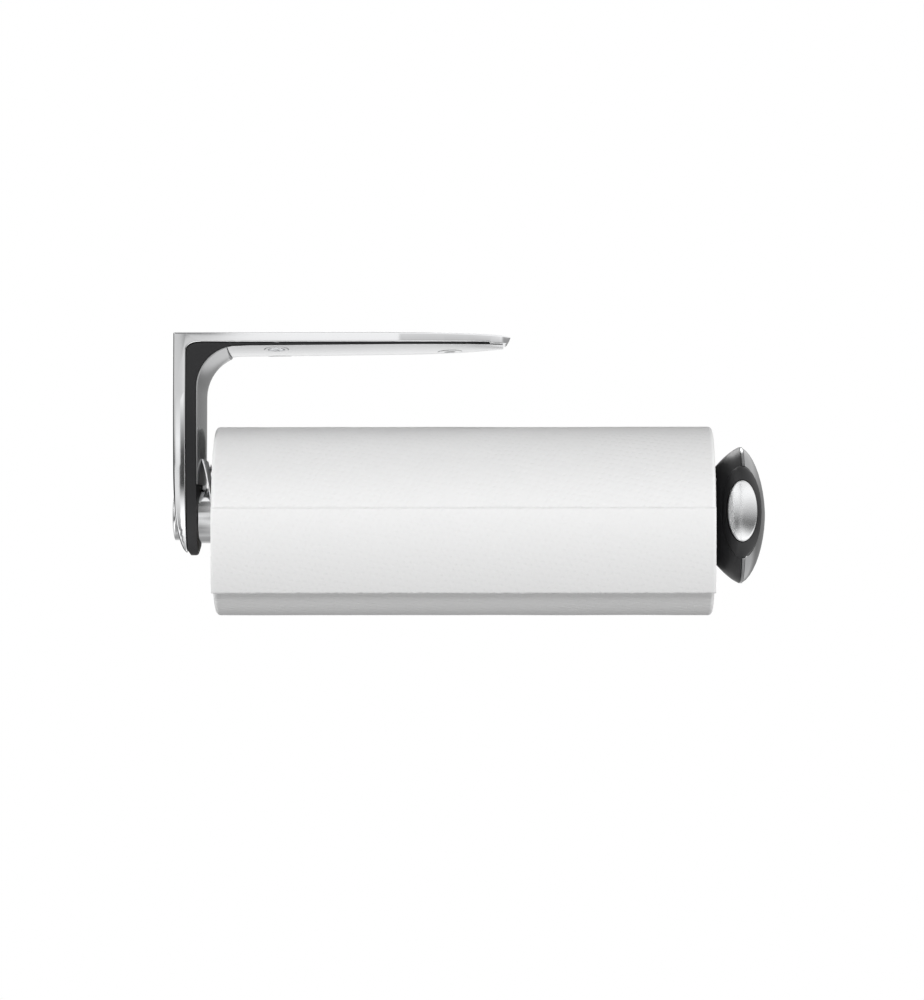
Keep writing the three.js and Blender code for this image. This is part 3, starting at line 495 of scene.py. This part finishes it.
# A slightly lighter, glossier copy of the black plastic: the lighter tone is painted light on the knob body,
# which the roll's end shades.
KNOB_BLACK_LIT = plastic("knob_plastic_painted_light", (0.012, 0.012, 0.013), (0.017, 0.017, 0.018), 0.36)
PAPER = paper("towel_paper", (0.915, 0.915, 0.915), (0.945, 0.945, 0.945))
PAPER_EDGE = paper_edge("towel_paper_edge")
CARD = card("core_card")
BY_SLOT = {
    "chrome_shell": CHROME, "black_plastic": BLACK, "satin_cover": SATIN, "plain_steel": STEEL,
    "polished_spindle": SPINDLE, "cast_zinc": ZINC, "knob_chrome": KNOB, "button_satin": BUTTON,
    "spring_steel": SPRING, "towel_paper": PAPER, "core_card": CARD,
}
BY_NODE = {  # nodes that look different from the rest of their slot
    "bracket_shell": SHELL, "arm_cover": ARM_SATIN_SHADED, "brake_leaf": LEAF, "knob_body": KNOB_BLACK_LIT,
    "screw_ferrule_front": SATIN, "screw_ferrule_rear": SATIN, "screw_ferrule_tip": SATIN,
}


# ---------- CAD nodes ----------
ROUNDED = {  # radius of the broken edges of each node, in metres
    "bracket_shell": 0.9 * MM, "bracket_liner": 0.35 * MM, "arm_cover": 0.3 * MM, "foot_cover": 0.3 * MM,
    "spindle_collar": 0.3 * MM, "axle_cap": 0.4 * MM, "knob_body": 0.25 * MM, "knob_trim_ring": 0.15 * MM,
    "knob_cover": 0.25 * MM, "brake_leaf": 0.15 * MM,
}


def smooth_node(node):
    """Joins the node's facets and rounds its edges, without moving its own vertices."""
    mesh = node.data
    if "custom_normal" in mesh.attributes:
        mesh.attributes.remove(mesh.attributes["custom_normal"])
    mesh.shade_smooth()
    weld = node.modifiers.new("weld", "WELD")
    weld.merge_threshold = 0.002 * MM
    width = ROUNDED.get(node.name)
    if width:
        planar = node.modifiers.new("planar", "DECIMATE")
        planar.decimate_type = "DISSOLVE"
        planar.angle_limit = math.radians(0.05)
        bevel = node.modifiers.new("bevel", "BEVEL")
        bevel.width = width
        bevel.segments = 3
        bevel.limit_method = "ANGLE"
        bevel.angle_limit = math.radians(32)
        bevel.use_clamp_overlap = node.name != "bracket_shell"
        bevel.miter_outer = "MITER_ARC"
        weighted = node.modifiers.new("weighted", "WEIGHTED_NORMAL")
        weighted.weight = 60
    else:
        split = node.modifiers.new("creases", "EDGE_SPLIT")
        split.split_angle = math.radians(30)


def dress_cad_nodes():
    """Gives each CAD node its material, smooth curves and rounded edges."""
    for part in frame["record"]["subparts"]:
        node = frame["nodes"][part["node"]]
        node.data.materials.clear()
        node.data.materials.append(BY_NODE.get(node.name) or BY_SLOT[part["material_slot"]])
        smooth_node(node)


# ---------- Fine pieces ----------
def piece_from_rows(name, rows, materials, closed_rows=False, closed_columns=False, uv=None, edge_rows=(),
                    hanging=False):
    """A surface through rows of points. uv gives a place in metres for each row and column."""
    height, width = len(rows), len(rows[0])
    faces, slots = [], []
    for i in range(height if closed_rows else height - 1):
        for j in range(width if closed_columns else width - 1):
            i1, j1 = (i + 1) % height, (j + 1) % width
            faces.append((i * width + j, i * width + j1, i1 * width + j1, i1 * width + j))
            slots.append(1 if i in edge_rows else 0)
    mesh = bpy.data.meshes.new(name)
    mesh.from_pydata([point for row in rows for point in row], [], faces)
    for material in materials:
        mesh.materials.append(material)
    mesh.polygons.foreach_set("material_index", slots)
    if uv:
        layer = mesh.uv_layers.new(name="place")
        for polygon in mesh.polygons:
            low = min(vertex % width for vertex in polygon.vertices)
            high = max(vertex % width for vertex in polygon.vertices)
            wraps = high - low > 1
            for loop in polygon.loop_indices:
                i, j = divmod(mesh.loops[loop].vertex_index, width)
                layer.data[loop].uv = uv(i, width if wraps and j == 0 else j)
        # The second map sets the painted shade on the hanging sheet: 0 at its top, 1 at its bottom.
        free = mesh.uv_layers.new(name="hanging")
        for loop in mesh.loops:
            row = loop.vertex_index // width
            free.data[loop.index].uv = (0, row / (height - 1) if hanging else 0)
    mesh.shade_smooth()
    piece = bpy.data.objects.new(name, mesh)
    bpy.context.scene.collection.objects.link(piece)
    return piece


def face_out(piece):
    """Closes the open ends of a piece and turns its faces outwards."""
    work = bmesh.new()
    work.from_mesh(piece.data)
    bmesh.ops.holes_fill(work, edges=[edge for edge in work.edges if edge.is_boundary])
    bmesh.ops.recalc_face_normals(work, faces=work.faces)
    work.to_mesh(piece.data)
    work.free()


def ripple(x, angle):
    """Small unevenness of a wound roll, from -1 to 1."""
    return noise_at(Vector((x * 22, math.cos(angle) * 1.6, math.sin(angle) * 1.6)))


def make_winding():
    """The wound paper, rounded at its ends and a little uneven, except where the free sheet leaves it."""
    bore = core_high.z - roll_z + 0.3 * MM
    outer = winding_high.z - roll_z
    start, end = winding_low.x, winding_high.x
    edge = WINDING_EDGE
    along, around = 150, 288
    profile = [(start, bore), (start, outer - edge)]
    profile += [
        (start + edge * (1 - math.cos(t)), outer - edge * (1 - math.sin(t)))
        for t in map(math.radians, (20, 40, 60, 80))
    ]
    profile += [(start + edge + (end - start - 2 * edge) * i / along, outer) for i in range(along + 1)]
    profile += [
        (end - edge * (1 - math.sin(t)), outer - edge * (1 - math.cos(t)))
        for t in map(math.radians, (10, 30, 50, 70))
    ]
    profile += [(end, outer - edge), (end, bore)]
    last = len(profile) - 1
    rows = []
    for x, radius in profile:
        row = []
        for j in range(around):
            angle = math.tau * j / around
            away = min(1, abs(angle - LEAVING_ANGLE) / 0.5)
            swell = SWELL * away * (ripple(x, angle) - 1) if radius > outer - edge else 0
            reach = radius + swell
            row.append((x, reach * math.cos(angle), roll_z + reach * math.sin(angle)))
        rows.append(row)
    piece = piece_from_rows(
        "towel_winding", rows, [PAPER, PAPER_EDGE], closed_rows=True, closed_columns=True,
        uv=lambda i, j: (profile[i][0], outer * math.tau * j / around),
        edge_rows=(0, last - 1, last),
    )
    face_out(piece)
    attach(piece, "roll")
    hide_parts("roll_winding")


def make_tail():
    """The loose end of the sheet, which leaves the roll level with its axis and curls back as it hangs."""
    top, bottom = tail_high.z, tail_low.z
    start, end = tail_low.x, tail_high.x
    across, down = 160, 40
    rows, lengths = [], [0.0]
    for i in range(down + 1):
        t = i / down
        level = top + (bottom - top) * t
        on_roll = math.sqrt(roll_radius ** 2 - min(level - roll_z, 0) ** 2)  # the roll's surface here
        rise = min(1, (top - level) / (top - roll_z))
        lift = SHEET * (0.6 + 1.2 * rise)
        row = []
        for j in range(across + 1):
            x = start + (end - start) * j / across
            wave = noise_at(Vector((x * 30, t * 1.5, 7))) + 1
            curl = min(TAIL_CURL * t * t + WAVE * t * wave, roll_radius - on_roll + WAVE * t)
            nick = NICK * abs(math.sin(math.pi * x / PERFORATION)) if i == down else 0
            row.append((x, -roll_radius - lift + curl, level + nick))
        rows.append(row)
        if i:
            step = Vector(rows[i][0]) - Vector(rows[i - 1][0])
            lengths.append(lengths[-1] + step.length)
    leaving = roll_radius * LEAVING_ANGLE
    piece = piece_from_rows(
        "towel_tail", rows, [PAPER], uv=lambda i, j: (rows[i][j][0], leaving + lengths[i]), hanging=True)
    thick = piece.modifiers.new("thickness", "SOLIDIFY")
    thick.thickness = SHEET
    thick.offset = 0
    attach(piece, "roll")
    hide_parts("roll_tail")


def make_button(side):
    """A domed oval button with a rolled rim, on the block that carries its latch plate."""
    sign = -1 if side == "front" else 1
    low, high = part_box("button_" + side)
    centre = Vector(((low.x + high.x) / 2, 0, (low.z + high.z) / 2))
    half_x, half_z = (high.x - low.x) / 2, (high.z - low.z) / 2
    inner, crown = sorted((abs(low.y), abs(high.y)))
    rings, around = 26, 96
    places = [(math.sin(math.pi / 2 * i / rings), 0) for i in range(1, rings + 1)]
    places += [(1, 0.35 * MM), (1, 0.9 * MM)]  # the rim drops straight towards the knob
    rows = []
    for share, drop in places:
        ring = []
        for j in range(around):
            angle = math.tau * j / around
            x, z = half_x * share * math.cos(angle), half_z * share * math.sin(angle)
            y = crown - button_fall(x, z, share) - drop
            ring.append((centre.x + x, sign * y, centre.z + z))
        rows.append(ring)
    back = sign * (crown - BUTTON_DEPTH)
    rows.append([(x, back, z) for x, _, z in rows[-1]])
    piece = piece_from_rows("button_dome_" + side, rows, [BUTTON], closed_columns=True)
    work = bmesh.new()
    work.from_mesh(piece.data)
    work.verts.ensure_lookup_table()
    work.faces.new([work.verts[j] for j in range(around)])
    work.faces.new([work.verts[(len(rows) - 1) * around + j] for j in reversed(range(around))])
    plate_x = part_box("latch_plate_" + side)[0].x
    corner = Vector((plate_x, sign * inner, centre.z - BLOCK_HALF_Z))
    opposite = Vector((centre.x + BLOCK_REACH, back + sign * BLOCK_SINK, centre.z + BLOCK_HALF_Z))
    add_block(work, corner, opposite)
    bmesh.ops.recalc_face_normals(work, faces=work.faces)
    work.to_mesh(piece.data)
    work.free()
    piece.data.shade_smooth()
    split = piece.modifiers.new("creases", "EDGE_SPLIT")
    split.split_angle = math.radians(50)
    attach(piece, "button_" + side)
    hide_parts("button_" + side)


def button_fall(x, z, share):
    """How far a button's surface lies below its crown; its outermost rings turn in to make the rim."""
    half_x, depth, half_z = BUTTON_DOME
    dome = depth * (1 - math.sqrt(max(0, 1 - (x / half_x) ** 2 - (z / half_z) ** 2)))
    turned_in = max(0, (share - RIM_START) / (1 - RIM_START))
    return dome + RIM_RADIUS * (1 - math.sqrt(max(0, 1 - turned_in ** 2)))


def add_block(work, corner, opposite):
    """Adds a block with broken edges between two corners."""
    middle, span = (corner + opposite) / 2, opposite - corner
    made = bmesh.ops.create_cube(work, size=1)["verts"]
    for vertex in made:
        vertex.co = middle + Vector(part * abs(size) for part, size in zip(vertex.co, span))
    edges = [edge for edge in work.edges if edge.verts[0] in made]
    bmesh.ops.bevel(work, geom=edges, offset=BLOCK_EDGE, segments=2, profile=0.5, affect="EDGES")


def make_spring(side):
    """The coil spring behind a button."""
    sign = -1 if side == "front" else 1
    node = "button_spring_" + side
    low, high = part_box(node)
    turns, per_turn, section = 7, 28, 8
    count = turns * per_turn
    coil = (high.x - low.x) / 2 - WIRE
    centre = (low + high) / 2
    inner, outer = sorted((abs(low.y), abs(high.y)))
    rise = Vector((0, sign, 0))
    rows = []
    for i in range(count + 1):
        angle = math.tau * i / per_turn
        out = Vector((math.cos(angle), 0, math.sin(angle)))
        level = inner + WIRE + (outer - inner - 2 * WIRE) * i / count
        spot = Vector((centre.x, sign * level, centre.z)) + coil * out
        row = []
        for k in range(section):
            turn = math.tau * k / section
            row.append(tuple(spot + WIRE * (math.cos(turn) * out + math.sin(turn) * rise)))
        rows.append(row)
    piece = piece_from_rows("coil_" + side, rows, [SPRING], closed_columns=True)
    face_out(piece)
    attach(piece, "knob")
    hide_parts(node)
    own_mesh(piece)


add_camera()
add_lights()
dress_cad_nodes()
make_winding()
make_tail()
for side in ("front", "rear"):
    make_button(side)
    make_spring(side)
